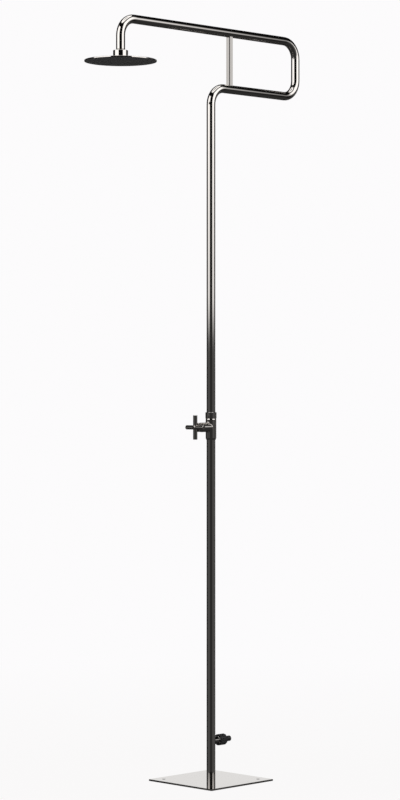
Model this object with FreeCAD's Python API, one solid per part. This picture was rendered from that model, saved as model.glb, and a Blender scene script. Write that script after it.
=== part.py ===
import FreeCAD, Part
import math
import os

from FreeCAD import Placement, Rotation, Vector

os.makedirs("parts", exist_ok=True)

# An outdoor shower post. Millimetres, +Z up, origin at the centre of the base plate's underside.
# The post stands on the Z axis, the head hangs at -Y towards the user, the loop and the hose
# inlet are at +Y behind the post.

# ---------------------------------------------------------------- base plate and foot
plate_side = 250.0
plate_thickness = 5.0
plate_edge_break = 0.3
anchor_hole_diameter = 10.0
anchor_edge_distance = 30.0         # hole centre to the plate's edges
spigot_height = 40.0
spigot_seal_height = 30.0           # O-ring above the plate
spigot_seal_section = 2.4
spigot_break = 1.0
grub_screw_height = 10.0            # above the plate
grub_screw_diameter = 5.0
grub_screw_length = 6.0
grub_screw_setback = 0.3            # outer end inside the tube's surface
grub_hole_spare = 0.2               # deeper than the screw

# ---------------------------------------------------------------- bent tube frame
tube_diameter = 25.0
tube_wall = 1.5
bend_radius = 50.0                  # of the tube's centre line
total_height = 2150.0
run_spacing = 161.5                 # between the centre lines of the two level runs
head_reach = 354.0                  # post axis to head axis
loop_reach = 355.0                  # post axis to the back of the loop
drop_length = 88.6                  # top run's centre line down to the tube's end
drop_end_round = 1.2                # outer edge of the tube's end at the head
brace_side = 15.0                   # square tube, its sides along X and Y
brace_corner_break = 1.7            # flat ground along each corner
brace_wall = 1.5
brace_reach = 76.0                  # post axis to brace axis

# ---------------------------------------------------------------- hose inlet
inlet_height = 114.0
stub_diameter = 20.9                # half-inch pipe thread
stub_bore = 15.0
stub_length = 27.5                  # out from the post's surface
stub_chamfer = 1.0
adapter_start = 15.5                # post's surface to the adapter nut
adapter_nut_diameter = 32.0
adapter_nut_length = 24.0
adapter_nut_cone = 4.5
adapter_nut_break = 1.0
adapter_lip = 2.0                   # flat ring round the nose at the cone's end
adapter_rib_count = 12
adapter_rib_depth = 0.8
adapter_rib_start = 2.0             # smooth band at the nut's post end
adapter_washer_thickness = 2.0
nose_diameter = 15.6
nose_neck_diameter = 18.0
nose_neck_length = 5.0              # in front of the adapter nut
nose_length = 15.2
nose_bore = 9.0
nose_flange_thickness = 3.0
nose_tip_chamfer = 1.5
nose_seal_section = 1.8             # squeezed flush with the nose, as a connector holds it
nose_seal_setback = 4.9             # nose's tip back to the O-ring's middle

# ---------------------------------------------------------------- tap body
valve_height = 1007.5               # branch axis above the floor
valve_diameter = 30.4
valve_below = 36.0                  # branch axis to the body's lower end
valve_above = 24.4                  # branch axis to the body's upper shoulder
valve_taper = 5.0
valve_taper_depth = 2.0
valve_shoulder_taper = 2.7
valve_shoulder_depth = 0.7
socket_depth = 16.0
socket_clearance = 0.05             # radial
waterway_diameter = 16.0
valve_web = 3.5                     # wall between the lower and the upper waterway
outlet_diameter = 4.4               # drilled from the upper waterway to the tap's outlet side
outlet_pitch = 4.0
outlet_count = 3
outlet_rise = 5.5                   # start above the upper waterway's floor
outlet_run = 6.5                    # end in front of the seat
outlet_end_depth = 1.5              # end inside the branch's cavity
branch_diameter = 27.3
branch_reach = 41.0                 # post axis to the branch's end
branch_root_fillet = 2.0
cavity_diameter = 20.0
seat_reach = 11.0                   # post axis to the tap's seat
port_diameter = 9.0
union_spigot_wall = 1.1
union_spigot_height = 12.6
union_seal_height = 3.0
union_nut_wall = 2.2
union_flange_height = 2.5
union_nut_break = 0.5
union_nut_foot_break = 0.6

# ---------------------------------------------------------------- tap headwork
headwork_clearance = 0.1            # radial, housing in branch
base_seal_thickness = 2.0
disc_diameter = 15.0
disc_thickness = 3.0
disc_gap = 0.1                      # between the two ceramic discs
disc_port_diameter = 4.6
disc_port_radius = 4.0
disc_chamber_clearance = 0.2        # radial, discs in housing
housing_wall = 1.0                  # round the discs, with the outlet space outside it
driver_thickness = 3.0
driver_clearance = 0.2              # radial, driver in the disc chamber's discs
tongue_width = 2.0
tongue_height = 1.0
tongue_clearance = 0.1
window_width = 8.0
window_length = 4.0
stem_diameter = 8.0
stem_clearance = 0.05               # radial, stem in housing
spline_diameter = 7.2
stem_seal_section = 1.2
stem_seal_start = 5.0               # disc chamber's end to the first O-ring
stem_seal_pitch = 4.0
stem_seal_squeeze = 0.05
stem_seal_clearance = 0.03
chamber_back_wall = 1.0
clip_gap = 0.2                      # housing's neck to the clip
hex_flats = 17.6
hex_height = 4.0
neck_diameter = 13.0
neck_height = 4.0
clip_thickness = 0.8
clip_diameter = 12.0

# ---------------------------------------------------------------- handle
hub_diameter = 25.9
hub_gap = 0.35                      # between the branch's end and the skirt
hub_skirt_wall = 1.3
hub_length = 15.7
hub_front_wall = 4.0
hub_boss_wall = 2.2                 # round the spline
hub_clip_gap = 0.3
hub_break = 1.2
cross_reach = 63.5                  # post axis to the arms' axes
arm_diameter = 12.2
cross_span = 69.0                   # tip to tip
arm_end_round = 1.0
cross_ring_diameter = 13.4
cross_ring_proud = 0.2              # ring's front in front of the arms
cross_gap = 0.2                     # hub's front to the ring's back
hub_peg_diameter = 9.8
handle_screw_diameter = 4.0
screw_head_diameter = 7.0
screw_head_height = 2.6
screw_head_recess = 1.4             # below the cross's front
screw_head_break = 0.6
screw_socket_flats = 3.0
screw_socket_share = 0.7            # of the head's height
screw_grip = 9.0                    # thread in the stem
cap_diameter = 11.0
cap_thickness = 1.0
cap_plug_depth = 1.0

# ---------------------------------------------------------------- head joint
nipple_depth = 18.0                 # inside the drop tube
nipple_bore = 16.0
nipple_thread_diameter = 20.8
ball_diameter = 30.0
ball_drop = 11.2                    # tube's end down to the ball's centre
ball_top_cut = 8.0                  # ball centre up to the flat top
ball_bottom_cut = 11.0
ball_bore_clearance = 0.1
ball_waterway = 14.0
nipple_washer_thickness = 2.0
nipple_stop = 4.0                   # ball centre down to the nipple's end
joint_clearance = 0.3               # round the ball and its seat ring
nut_diameter = 41.4
nut_top = 8.5                       # above the ball's centre
nut_lip = 6.0                       # height of the narrowest ring above the ball's centre
nut_flare = 0.9                     # widening from the lip to the top
nut_break = 0.4
cup_wall = 1.75
cup_top = 0.3                       # below the ball's centre
cup_floor = 1.5
seat_height = 7.5
seat_rise = 0.5                     # ball's lowest point up to the seat ring's foot
nut_foot_break = 0.4
seat_bore = 17.0
thread_clearance = 0.1

# ---------------------------------------------------------------- shower head
head_diameter = 200.0
head_rim_height = 3.4
head_sheet = 1.0
head_rim_wall = 1.2
head_rim_top_round = 1.0
head_rim_foot_break = 0.4
head_crown_rise = 1.3               # rim top up to the dome's foot
dome_foot_diameter = 84.0
dome_top_diameter = 44.0
dome_drop = 7.3                     # ball centre down to the dome's top
head_drop = 21.8                    # ball centre down to the head's underside
face_plate_thickness = 0.8
mat_thickness = 0.6
nozzle_rings = 7
nozzle_ring_pitch = 12.0
nozzle_first_radius = 15.0
nozzles_per_ring_step = 6
nozzle_root_diameter = 3.2
nozzle_tip_diameter = 2.0
nozzle_length = 1.6                 # below the face plate
nozzle_bore_diameter = 1.0
nozzle_hole_clearance = 0.15
regulator_diameter = 11.8
regulator_flange_diameter = 16.0
regulator_flange_thickness = 1.2
regulator_length = 4.0
regulator_hole_diameter = 1.8
regulator_hole_count = 6
regulator_hole_share = 0.6          # of the body's radius, the holes' circle

# ---------------------------------------------------------------- derived places
UP = Vector(0, 0, 1)
FRONT = Vector(0, -1, 0)
BACK = Vector(0, 1, 0)

tube_radius = tube_diameter / 2
bore_radius = tube_radius - tube_wall
top_run_z = total_height - tube_radius
low_run_z = top_run_z - run_spacing
tube_end_z = top_run_z - drop_length
socket_radius = tube_radius + socket_clearance
low_socket_z = valve_height - valve_below + socket_depth
shoulder_z = valve_height + valve_above
union_spigot_radius = socket_radius + union_spigot_wall
union_spigot_top = shoulder_z + union_spigot_height
high_socket_z = union_spigot_top - union_seal_height - socket_depth
union_nut_radius = union_spigot_radius + union_nut_wall
union_nut_top = union_spigot_top + union_seal_height + union_flange_height

valve_axis = Vector(0, 0, valve_height)
inlet_axis = Vector(0, 0, inlet_height)
ball_z = tube_end_z - ball_drop
ball_centre = Vector(0, -head_reach, ball_z)
head_axis = Vector(0, -head_reach, 0)


def placed(shape, base, direction):
    """Move a shape built on the Z axis so that Z lies along the direction from the base."""
    shape.Placement = Placement(base, Rotation(UP, direction))
    return shape


def rod(radius, low, high, base=Vector(0, 0, 0), direction=UP):
    """Round bar between two distances along an axis."""
    return placed(Part.makeCylinder(radius, high - low, Vector(0, 0, low)), base, direction)


def ring(outer, inner, low, high, base=Vector(0, 0, 0), direction=UP):
    """Round tube between two distances along an axis."""
    return rod(outer, low, high, base, direction).cut(rod(inner, low, high, base, direction))


def lathe(outline, base=Vector(0, 0, 0), direction=UP):
    """Turned solid from (radius, distance) corners."""
    corners = [Vector(radius, 0, height) for radius, height in outline]
    face = Part.Face(Part.makePolygon(corners + corners[:1]))
    return placed(face.revolve(Vector(0, 0, 0), UP, 360), base, direction)


def o_ring(inner, section, height, base, direction):
    """Rubber ring of round section whose smallest radius and middle height are given."""
    return placed(Part.makeTorus(inner + section / 2, section / 2, Vector(0, 0, height)), base, direction)


def hexagon(flats, low, high, base, direction):
    """Six-sided bar, measured across its flats."""
    corner = flats / math.sqrt(3)
    points = [Vector(corner * math.cos(k * math.pi / 3), corner * math.sin(k * math.pi / 3), low)
              for k in range(7)]
    bar = Part.Face(Part.makePolygon(points)).extrude(Vector(0, 0, high - low))
    return placed(bar, base, direction)


def between(start, end, radius):
    """Round bar from one point to another."""
    return Part.makeCylinder(radius, (end - start).Length, start, end - start)


def save(name, shape):
    """Write one node, refusing an invalid or an empty shape."""
    if not shape.isValid() or shape.Volume <= 0:
        raise ValueError("bad shape: " + name)
    if len(shape.Solids) == 1:
        shape = shape.Solids[0]
    shape.exportStep("parts/" + name + ".step")
    print("%-20s solids %3d  volume %11.1f" % (name, len(shape.Solids), shape.Volume))


# ---------------------------------------------------------------- base plate and foot
def base_plate():
    half = plate_side / 2
    plate = Part.makeBox(plate_side, plate_side, plate_thickness, Vector(-half, -half, 0))
    plate = plate.makeChamfer(plate_edge_break, plate.Edges)
    offset = half - anchor_edge_distance
    for x in (-offset, offset):
        for y in (-offset, offset):
            spot = Vector(x, y, 0)
            plate = plate.cut(rod(anchor_hole_diameter / 2, 0, plate_thickness, spot))
    return plate


def grub_hole():
    """Screw hole from the back, through the tube's wall into the spigot."""
    base = Vector(0, 0, plate_thickness + grub_screw_height)
    deepest = tube_radius - grub_screw_length - grub_hole_spare
    return rod(grub_screw_diameter / 2 + thread_clearance, deepest, tube_radius + 1, base, BACK)


def spigot_seal_groove():
    return bore_radius - spigot_seal_section


def foot_spigot():
    outer = bore_radius - thread_clearance
    groove = spigot_seal_groove()
    half_width = spigot_seal_section / 2 + thread_clearance
    outline = [(0, 0), (outer, 0), (outer, spigot_seal_height - half_width),
               (groove, spigot_seal_height - half_width), (groove, spigot_seal_height + half_width),
               (outer, spigot_seal_height + half_width), (outer, spigot_height - spigot_break),
               (outer - spigot_break, spigot_height), (0, spigot_height)]
    return lathe(outline, Vector(0, 0, plate_thickness)).cut(grub_hole())


def foot_seal():
    base = Vector(0, 0, plate_thickness)
    return o_ring(spigot_seal_groove(), spigot_seal_section, spigot_seal_height, base, UP)


def foot_grub_screw():
    base = Vector(0, 0, plate_thickness + grub_screw_height)
    outer_end = tube_radius - grub_screw_setback
    radius = grub_screw_diameter / 2
    inner_end = tube_radius - grub_screw_length
    outline = [(0, inner_end), (radius - 0.5, inner_end), (radius, inner_end + 0.5),
               (radius, outer_end - 0.3), (radius - 0.3, outer_end), (0, outer_end)]
    socket = hexagon(grub_screw_diameter / 2, outer_end - 2.5, outer_end + 1, base, BACK)
    return lathe(outline, base, BACK).cut(socket)


# ---------------------------------------------------------------- tubes
def lower_tube():
    tube = ring(tube_radius, bore_radius, plate_thickness, low_socket_z)
    return tube.cut(grub_hole()).cut(rod(stub_bore / 2, 0, tube_diameter, inlet_axis, BACK))


def bent_path():
    """Centre line of the upper tube: straight runs in the YZ plane joined by quarter bends."""
    corners = [Vector(0, 0, high_socket_z), Vector(0, 0, low_run_z), Vector(0, loop_reach, low_run_z),
               Vector(0, loop_reach, top_run_z), Vector(0, -head_reach, top_run_z),
               Vector(0, -head_reach, tube_end_z)]
    edges = []
    start = corners[0]
    for before, corner, after in zip(corners, corners[1:], corners[2:]):
        incoming = (corner - before).normalize()
        outgoing = (after - corner).normalize()
        bend_start = corner - incoming * bend_radius
        bend_end = corner + outgoing * bend_radius
        hub = corner + (outgoing - incoming) * bend_radius
        middle = hub + (incoming - outgoing).normalize() * bend_radius
        edges.append(Part.LineSegment(start, bend_start).toShape())
        edges.append(Part.Arc(bend_start, middle, bend_end).toShape())
        start = bend_end
    edges.append(Part.LineSegment(start, corners[-1]).toShape())
    return Part.Wire(edges)


def swept(path, radius):
    start = path.OrderedVertexes[0].Point
    section = Part.Wire(Part.makeCircle(radius, start, UP))
    return path.makePipeShell([section], True, True)


def upper_tube():
    path = bent_path()
    tube = swept(path, tube_radius).cut(swept(path, bore_radius))
    rim = []
    for edge in tube.Edges:
        spot = edge.Vertexes[0].Point
        off_axis = math.hypot(spot.x, spot.y + head_reach)
        if edge.BoundBox.ZMax < tube_end_z + 0.01 and bore_radius + 0.1 < off_axis < tube_diameter:
            rim.append(edge)
    return tube.makeFillet(drop_end_round, rim)


def square_bar(side, corner_break):
    """Upright square bar on the brace's axis, from one level run's centre line to the other's."""
    base = Vector(-side / 2, brace_reach - side / 2, low_run_z)
    bar = Part.makeBox(side, side, run_spacing, base)
    upright = [edge for edge in bar.Edges if edge.BoundBox.ZLength > side]
    return bar.makeChamfer(corner_break, upright)


def brace():
    bore = square_bar(brace_side - 2 * brace_wall, brace_corner_break - brace_wall / 2)
    tube = square_bar(brace_side, brace_corner_break).cut(bore)
    for height in (low_run_z, top_run_z):
        run = rod(tube_radius, brace_reach - tube_diameter, brace_reach + tube_diameter,
                  Vector(0, 0, height), BACK)
        tube = tube.cut(run)
    return tube


# ---------------------------------------------------------------- hose inlet
adapter_y = tube_radius + adapter_start
stub_end = tube_radius + stub_length
washer_end = stub_end + adapter_washer_thickness
flange_end = washer_end + nose_flange_thickness
nut_front = adapter_y + adapter_nut_length + adapter_nut_cone
neck_end = nut_front + nose_neck_length
nose_end = neck_end + nose_length
nose_seal_y = nose_end - nose_seal_setback
nose_seal_groove = nose_diameter / 2 - nose_seal_section


def inlet_stub():
    radius = stub_diameter / 2
    outline = [(stub_bore / 2, 0), (radius, 0), (radius, stub_end - stub_chamfer),
               (radius - stub_chamfer, stub_end), (stub_bore / 2, stub_end)]
    return lathe(outline, inlet_axis, BACK).cut(rod(tube_radius, -tube_diameter, tube_diameter, inlet_axis))


def adapter_washer():
    return ring(stub_diameter / 2 - 0.5, nose_bore / 2 + 1, stub_end, washer_end, inlet_axis, BACK)


def adapter_nut():
    radius = adapter_nut_diameter / 2
    thread = stub_diameter / 2 + thread_clearance
    opening = nose_neck_diameter / 2 + thread_clearance
    outline = [(thread, adapter_y), (radius - adapter_nut_break, adapter_y),
               (radius, adapter_y + adapter_nut_break), (radius, adapter_y + adapter_nut_length),
               (opening + adapter_lip, nut_front), (opening, nut_front),
               (opening, flange_end), (thread, flange_end)]
    nut = lathe(outline, inlet_axis, BACK)
    spacing = 2 * math.pi * radius / adapter_rib_count
    flute_radius = spacing / 3
    for k in range(adapter_rib_count):
        angle = 2 * math.pi * (k + 0.5) / adapter_rib_count
        reach = radius + flute_radius - adapter_rib_depth
        spot = inlet_axis + Vector(reach * math.cos(angle), 0, reach * math.sin(angle))
        nut = nut.cut(rod(flute_radius, adapter_y + adapter_rib_start, nut_front + 1, spot, BACK))
    return nut


def adapter_nose():
    bore = nose_bore / 2
    flange = stub_diameter / 2 - 0.1
    neck = nose_neck_diameter / 2
    nose = nose_diameter / 2
    groove = nose_seal_groove
    half_width = nose_seal_section / 2 + thread_clearance
    outline = [(bore, washer_end), (flange, washer_end), (flange, flange_end), (neck, flange_end),
               (neck, neck_end - (neck - nose)), (nose, neck_end), (nose, nose_seal_y - half_width),
               (groove, nose_seal_y - half_width), (groove, nose_seal_y + half_width),
               (nose, nose_seal_y + half_width), (nose, nose_end - nose_tip_chamfer),
               (nose - nose_tip_chamfer, nose_end), (bore, nose_end)]
    return lathe(outline, inlet_axis, BACK)


def adapter_o_ring():
    return o_ring(nose_seal_groove, nose_seal_section, nose_seal_y, inlet_axis, BACK)


# ---------------------------------------------------------------- tap body
def valve_body():
    radius = valve_diameter / 2
    lowest = valve_height - valve_below
    outline = [(0, lowest), (radius - valve_taper_depth, lowest), (radius, lowest + valve_taper),
               (radius, shoulder_z - valve_shoulder_taper), (radius - valve_shoulder_depth, shoulder_z),
               (0, shoulder_z)]
    body = lathe(outline).fuse(rod(branch_diameter / 2, 0, branch_reach, valve_axis, FRONT))
    roots = [edge for edge in body.Edges
             if abs(edge.CenterOfMass.z - valve_height) < 1 and edge.BoundBox.XLength > branch_diameter * 0.9
             and edge.BoundBox.YMin > -radius - 0.1 and edge.BoundBox.YMax > 1 - radius]
    body = body.makeFillet(branch_root_fillet, roots)
    body = body.fuse(rod(union_spigot_radius, shoulder_z - 1, union_spigot_top))
    water = waterway_diameter / 2
    port = port_diameter / 2
    web_low = valve_height + port
    hollows = [rod(socket_radius, lowest - 1, low_socket_z),
               rod(water, low_socket_z - 1, valve_height + port / 2),
               rod(water, web_low + valve_web, high_socket_z + 1),
               rod(socket_radius, high_socket_z, union_spigot_top + 1),
               rod(port, 0, seat_reach + 1, valve_axis, FRONT),
               rod(cavity_diameter / 2, seat_reach, branch_reach + 1, valve_axis, FRONT)]
    for k in range(outlet_count):
        x = (k - (outlet_count - 1) / 2) * outlet_pitch
        start = Vector(x, -water * 0.6, web_low + valve_web + outlet_rise)
        end = Vector(x, -seat_reach - outlet_run, valve_height + cavity_diameter / 2 - outlet_end_depth)
        hollows.append(between(start, end, outlet_diameter / 2))
    for hollow in hollows:
        body = body.cut(hollow)
    return body


def union_seal():
    return ring(union_spigot_radius, tube_radius, union_spigot_top, union_spigot_top + union_seal_height)


def union_nut():
    thread = union_spigot_radius + socket_clearance
    flange_z = union_spigot_top + union_seal_height
    outline = [(thread, shoulder_z), (union_nut_radius - union_nut_foot_break, shoulder_z),
               (union_nut_radius, shoulder_z + union_nut_foot_break),
               (union_nut_radius, union_nut_top - union_nut_break),
               (union_nut_radius - union_nut_break, union_nut_top), (socket_radius, union_nut_top),
               (socket_radius, flange_z), (thread, flange_z)]
    return lathe(outline)


# ---------------------------------------------------------------- tap headwork
# Distances are measured from the post axis towards the user.
disc_start = seat_reach + base_seal_thickness
turning_disc_start = disc_start + disc_thickness + disc_gap
driver_start = turning_disc_start + disc_thickness
chamber_end = driver_start + driver_thickness + window_length
hex_end = branch_reach + hex_height
neck_front = hex_end + neck_height
clip_start = neck_front + clip_gap
spline_start = clip_start + clip_thickness
hub_start = branch_reach + hub_gap
hub_front = hub_start + hub_length
cross_front = cross_reach + arm_diameter / 2 + cross_ring_proud
cross_back = hub_front + cross_gap
stem_radius = stem_diameter / 2
stem_bore = stem_radius + stem_clearance
first_seal = chamber_end + stem_seal_start
seal_places = [first_seal, first_seal + stem_seal_pitch]
stem_groove = stem_radius - stem_seal_section + stem_seal_squeeze


def base_seal():
    outer = disc_diameter / 2 + 1
    return ring(outer, port_diameter / 2 + 0.3, seat_reach, disc_start, valve_axis, FRONT)


def disc_ports(start, turn):
    """Two through holes either side of a disc's centre."""
    holes = []
    for side in (-1, 1):
        reach = side * disc_port_radius
        spot = valve_axis + Vector(reach * math.cos(turn), 0, reach * math.sin(turn))
        holes.append(rod(disc_port_diameter / 2, start - 1, start + disc_thickness + 1, spot, FRONT))
    return holes


def ceramic_disc(start, turn):
    disc = rod(disc_diameter / 2, start, start + disc_thickness, valve_axis, FRONT)
    for hole in disc_ports(start, turn):
        disc = disc.cut(hole)
    return disc


def fixed_disc():
    return ceramic_disc(disc_start, 0.0)


def turning_disc():
    return ceramic_disc(turning_disc_start, math.pi / 2).cut(driver_tongue(tongue_clearance))


def driver_tongue(growth):
    """Flat tongue on the stem that fits a slot across the turning disc."""
    width = tongue_width + growth
    length = disc_diameter - tongue_width + growth
    tip = driver_start - tongue_height - growth / 2
    return Part.makeBox(length, tongue_height + growth, width,
                        Vector(-length / 2, -tip - tongue_height - growth, valve_height - width / 2))


def headwork_housing():
    outer = cavity_diameter / 2 - headwork_clearance
    chamber = disc_diameter / 2 + disc_chamber_clearance
    neck = neck_diameter / 2
    slim = chamber + housing_wall
    outline = [(chamber, disc_start), (slim, disc_start), (slim, chamber_end), (outer, chamber_end),
               (outer, branch_reach), (neck, branch_reach), (neck, neck_front), (stem_bore, neck_front),
               (stem_bore, chamber_end - chamber_back_wall),
               (chamber, chamber_end - chamber_back_wall)]
    housing = lathe(outline, valve_axis, FRONT)
    nut = hexagon(hex_flats, branch_reach, hex_end, valve_axis, FRONT)
    housing = housing.fuse(nut.cut(rod(stem_bore, branch_reach - 1, hex_end + 1, valve_axis, FRONT)))
    low = driver_start + driver_thickness
    window = Part.makeBox(window_width, window_length, cavity_diameter + 2,
                          Vector(-window_width / 2, -chamber_end, valve_height - cavity_diameter / 2 - 1))
    core = rod(chamber, low - 1, chamber_end + 1, valve_axis, FRONT)
    return housing.cut(window.cut(core))


def valve_stem():
    driver = disc_diameter / 2 - driver_clearance
    driver_end = driver_start + driver_thickness
    spline = spline_diameter / 2
    half_width = stem_seal_section / 2 + thread_clearance
    outline = [(0, driver_start), (driver, driver_start), (driver, driver_end), (stem_radius, driver_end)]
    for place in seal_places:
        outline += [(stem_radius, place - half_width), (stem_groove, place - half_width),
                    (stem_groove, place + half_width), (stem_radius, place + half_width)]
    outline += [(stem_radius, clip_start), (spline, clip_start), (spline, hub_front), (0, hub_front)]
    stem = lathe(outline, valve_axis, FRONT).fuse(driver_tongue(0.0))
    thread = handle_screw_diameter / 2 + 0.05
    return stem.cut(rod(thread, hub_front - screw_grip - 1, hub_front + 1, valve_axis, FRONT))


def stem_seals():
    section = stem_bore - stem_groove - stem_seal_clearance
    seals = [o_ring(stem_groove, section, place, valve_axis, FRONT) for place in seal_places]
    return Part.makeCompound(seals)


def stem_clip():
    inner = spline_diameter / 2
    return ring(clip_diameter / 2, inner, clip_start, spline_start, valve_axis, FRONT)


# ---------------------------------------------------------------- handle
screw_seat = cross_front - screw_head_height - screw_head_recess
peg_radius = hub_peg_diameter / 2


def handle_hub():
    radius = hub_diameter / 2
    skirt = radius - hub_skirt_wall
    spline = spline_diameter / 2 + 0.05
    screw_hole = handle_screw_diameter / 2 + 0.3
    head_hole = screw_head_diameter / 2 + 0.2
    boss = spline + hub_boss_wall
    boss_back = spline_start + hub_clip_gap
    wall_back = hub_front - hub_front_wall
    outline = [(skirt, hub_start), (radius, hub_start), (radius, hub_front - hub_break),
               (radius - hub_break, hub_front), (peg_radius, hub_front), (peg_radius, cross_front),
               (head_hole, cross_front), (head_hole, screw_seat), (screw_hole, screw_seat),
               (screw_hole, hub_front), (spline, hub_front), (spline, boss_back),
               (boss, boss_back), (boss, wall_back), (skirt, wall_back)]
    return lathe(outline, valve_axis, FRONT)


def handle_arm(direction):
    """One arm of the cross, from the axis out to its rounded tip."""
    radius = arm_diameter / 2
    centre = valve_axis + FRONT * cross_reach
    arm = rod(radius, 0, cross_span / 2, centre, direction)
    tip_centre = centre + direction * (cross_span / 2)
    tips = [edge for edge in arm.Edges
            if len(edge.Vertexes) == 1 and (edge.CenterOfMass - tip_centre).Length < 1]
    return arm.makeFillet(arm_end_round, tips)


def handle_cross():
    cross = rod(cross_ring_diameter / 2, cross_back, cross_front, valve_axis, FRONT)
    for direction in (Vector(1, 0, 0), Vector(-1, 0, 0), UP, -UP):
        cross = cross.fuse(handle_arm(direction))
    peg_hole = rod(peg_radius + 0.05, cross_back - 1, cross_front + 1, valve_axis, FRONT)
    return cross.cut(peg_hole)


def handle_screw():
    shank = handle_screw_diameter / 2
    head = screw_head_diameter / 2
    top = screw_seat + screw_head_height
    outline = [(0, hub_front - screw_grip), (shank, hub_front - screw_grip), (shank, screw_seat),
               (head, screw_seat), (head, top - screw_head_break),
               (head - screw_head_break, top), (0, top)]
    socket_floor = top - screw_head_height * screw_socket_share
    socket = hexagon(screw_socket_flats, socket_floor, top + 1, valve_axis, FRONT)
    return lathe(outline, valve_axis, FRONT).cut(socket)


def handle_cap():
    plug = screw_head_diameter / 2 + 0.1
    rim = cap_diameter / 2
    plug_end = cross_front - cap_plug_depth
    outline = [(0, plug_end), (plug, plug_end), (plug, cross_front), (rim, cross_front),
               (rim, cross_front + cap_thickness * 0.5), (rim - 1, cross_front + cap_thickness),
               (0, cross_front + cap_thickness)]
    return lathe(outline, valve_axis, FRONT)


# ---------------------------------------------------------------- head joint
ball_radius = ball_diameter / 2
nipple_end_z = ball_z - nipple_stop
washer_low_z = nipple_end_z - nipple_washer_thickness
cup_bore = ball_radius + joint_clearance
cup_radius = cup_bore + cup_wall
seat_low_z = ball_z - ball_radius + seat_rise
cup_floor_z = seat_low_z - joint_clearance
dome_top_z = ball_z - dome_drop
underside_z = ball_z - head_drop


def arm_nipple():
    inside = bore_radius - thread_clearance
    thread = nipple_thread_diameter / 2
    bore = nipple_bore / 2
    outline = [(bore, nipple_end_z), (thread - 0.5, nipple_end_z), (thread, nipple_end_z + 0.5),
               (thread, tube_end_z), (inside, tube_end_z), (inside, tube_end_z + nipple_depth),
               (bore, tube_end_z + nipple_depth)]
    return lathe(outline, head_axis)


def nipple_washer():
    outer = nipple_thread_diameter / 2 - 0.2
    return ring(outer, ball_waterway / 2, washer_low_z, nipple_end_z, head_axis)


def swivel_ball():
    bore = nipple_thread_diameter / 2 + ball_bore_clearance
    ball = Part.makeSphere(ball_radius, ball_centre)
    slab = rod(ball_radius + 1, ball_z - ball_bottom_cut, ball_z + ball_top_cut, head_axis)
    ball = ball.common(slab)
    ball = ball.cut(rod(bore, washer_low_z, ball_z + ball_radius, head_axis))
    return ball.cut(rod(ball_waterway / 2, ball_z - ball_radius, washer_low_z + 1, head_axis))


def seat_ring():
    outer = cup_bore - joint_clearance
    block = ring(outer, seat_bore / 2, seat_low_z, seat_low_z + seat_height, head_axis)
    return block.cut(Part.makeSphere(ball_radius + joint_clearance, ball_centre))


def ball_nut():
    outer = nut_diameter / 2
    top = ball_z + nut_top
    lip_z = ball_z + nut_lip
    socket = ball_radius + joint_clearance
    lip = math.sqrt(socket ** 2 - nut_lip ** 2)
    outline = [(0, dome_top_z), (outer - nut_foot_break, dome_top_z), (outer, dome_top_z + nut_foot_break),
               (outer, top - nut_break), (outer - nut_break, top), (0, top)]
    nut = lathe(outline, head_axis)
    nut = nut.cut(rod(cup_radius + thread_clearance, dome_top_z - 1, ball_z, head_axis))
    nut = nut.cut(Part.makeSphere(socket, ball_centre))
    flare = Part.makeCone(lip, lip + nut_flare * (top + 1 - lip_z) / (top - lip_z), top + 1 - lip_z,
                          head_axis + Vector(0, 0, lip_z))
    return nut.cut(flare)


# ---------------------------------------------------------------- shower head
head_radius = head_diameter / 2
rim_top_z = underside_z + head_rim_height
dome_foot_z = rim_top_z + head_crown_rise
plate_top_z = underside_z + face_plate_thickness
mat_top_z = plate_top_z + mat_thickness
plate_radius = head_radius - head_rim_wall - 0.05


def dome_curve(foot, top):
    """Two tangent arcs that climb from a level start to a level end."""
    run = top - foot
    bend = (run.x ** 2 + run.z ** 2) / (4 * run.z)
    turn = math.asin(abs(run.x) / 2 / bend)
    if run.z > abs(run.x):
        turn = math.pi - turn
    side = math.copysign(1, run.x)
    middle = (foot + top) * 0.5
    swing = Vector(side * bend * math.sin(turn / 2), 0, bend * (1 - math.cos(turn / 2)))
    first = Part.Arc(foot, foot + swing, middle)
    second = Part.Arc(middle, top - swing, top)
    return [first.toShape(), second.toShape()]


def polyline(points):
    return [Part.makeLine(a, b) for a, b in zip(points, points[1:])]


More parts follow.
